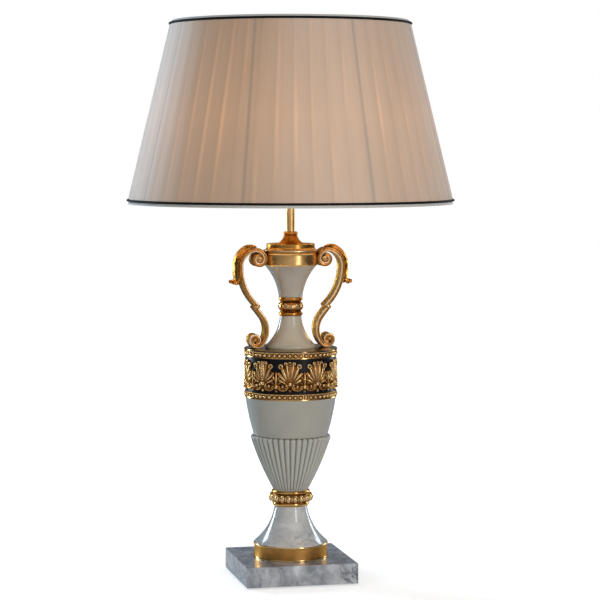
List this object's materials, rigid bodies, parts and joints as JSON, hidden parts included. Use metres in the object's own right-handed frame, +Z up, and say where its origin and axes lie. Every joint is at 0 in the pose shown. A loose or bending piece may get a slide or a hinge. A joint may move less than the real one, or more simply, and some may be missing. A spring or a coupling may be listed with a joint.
{
  "type": "table lamp",
  "caption": "Column table lamp: square marble base, urn body with gilt frieze and scroll handles, and a tapered pleated fabric shade.",
  "frame": {"origin": "centre of the square that the foot pads stand on, on the table", "axes": "+Z up the column, +X towards the right handle, +Y towards the cable inlet at the back"},
  "size_m": [0.453, 0.453, 0.7734],
  "materials": {
    "marble": "polished grey-veined white marble",
    "felt_pad": "matt",
    "black_plastic": "moulded",
    "steel": "zinc plated",
    "gilt_brass": "gilt, satin with polished edges",
    "bronze": "dark patinated, polished",
    "ivory_glaze": "satin ivory glaze",
    "black_glaze": "gloss black glaze",
    "holder_shell": "moulded",
    "porcelain": "glazed porcelain",
    "screw_shell": "nickel plated",
    "frame_wire": "off-white enamel",
    "bulb_glass": "frosted",
    "filament": "bare wire",
    "organza": "pleated organza",
    "lining": "smooth white lining",
    "tape": "grey ribbon",
    "piping": "black cord piping"
  },
  "bodies": {
    "lamp": {"marble_base": "marble", "foot_pads": "felt_pad", "cable_bush": "black_plastic", "base_washer": "steel", "lock_washer": "steel", "base_nut": "steel", "tie_rod": "steel", "foot_ring": "gilt_brass", "pedestal": "marble", "collar_lower_ring": "gilt_brass", "collar_leaf_band": "gilt_brass", "collar_upper_ring": "gilt_brass", "fluted_cup": "ivory_glaze", "urn_bowl": "ivory_glaze", "lower_bead_ring": "gilt_brass", "frieze_band": "black_glaze", "upper_bead_ring": "gilt_brass", "palmette_frieze": "gilt_brass", "shoulder_plate": "bronze", "lower_neck": "ivory_glaze", "knot_lower_ring": "gilt_brass", "knot_leaf_band": "gilt_brass", "knot_upper_ring": "gilt_brass", "upper_neck": "ivory_glaze", "cap_band": "gilt_brass", "cap_lid": "gilt_brass", "lid_cone": "gilt_brass", "knop_ring": "gilt_brass", "stem_tube": "gilt_brass", "handle_right": "gilt_brass", "handle_left": "gilt_brass", "handle_leaf_right": "gilt_brass", "handle_leaf_left": "gilt_brass", "handle_screws": "steel", "holder_base": "holder_shell", "holder_shell": "holder_shell", "holder_insulator": "porcelain", "holder_screw_shell": "screw_shell", "holder_contact": "gilt_brass", "shade_ring_lower": "holder_shell"},
    "shade": {"fitter_ring": "frame_wire", "shade_cover": "organza", "bottom_tape": "tape", "top_tape": "tape", "shade_lining": "lining", "shade_bottom_ring": "frame_wire", "shade_top_ring": "frame_wire", "bottom_piping": "piping", "top_piping": "piping", "shade_ribs": "frame_wire", "shade_spokes": "frame_wire"},
    "shade_nut": {"shade_ring_upper": "holder_shell"},
    "bulb_carrier": {"bulb_contact": "gilt_brass"},
    "bulb": {"bulb_foot": "black_plastic", "bulb_cap": "screw_shell", "bulb_glass": "bulb_glass", "bulb_filament": "filament"}
  },
  "joints": [
    {"name": "shade_turn", "type": "hinge", "parent": "lamp", "child": "shade", "pos_m": [0, 0, 0.572], "axis": [0, 0, 1], "continuous": true},
    {"name": "shade_nut_lift", "type": "slide", "parent": "lamp", "child": "shade_nut", "axis": [0, 0, 1], "range_m": [0, 0.032]},
    {"name": "bulb_lift", "type": "slide", "parent": "lamp", "child": "bulb_carrier", "axis": [0, 0, 1], "range_m": [0, 0.01452]},
    {"name": "bulb_turn", "type": "hinge", "parent": "bulb_carrier", "child": "bulb", "pos_m": [0, 0, 0.6], "axis": [0, 0, 1], "range_deg": [0, 1440]}
  ],
  "couplings": [
    {"joint": "bulb_lift", "follows": "bulb_turn", "m_per_rad": 0.00057757}
  ]
}
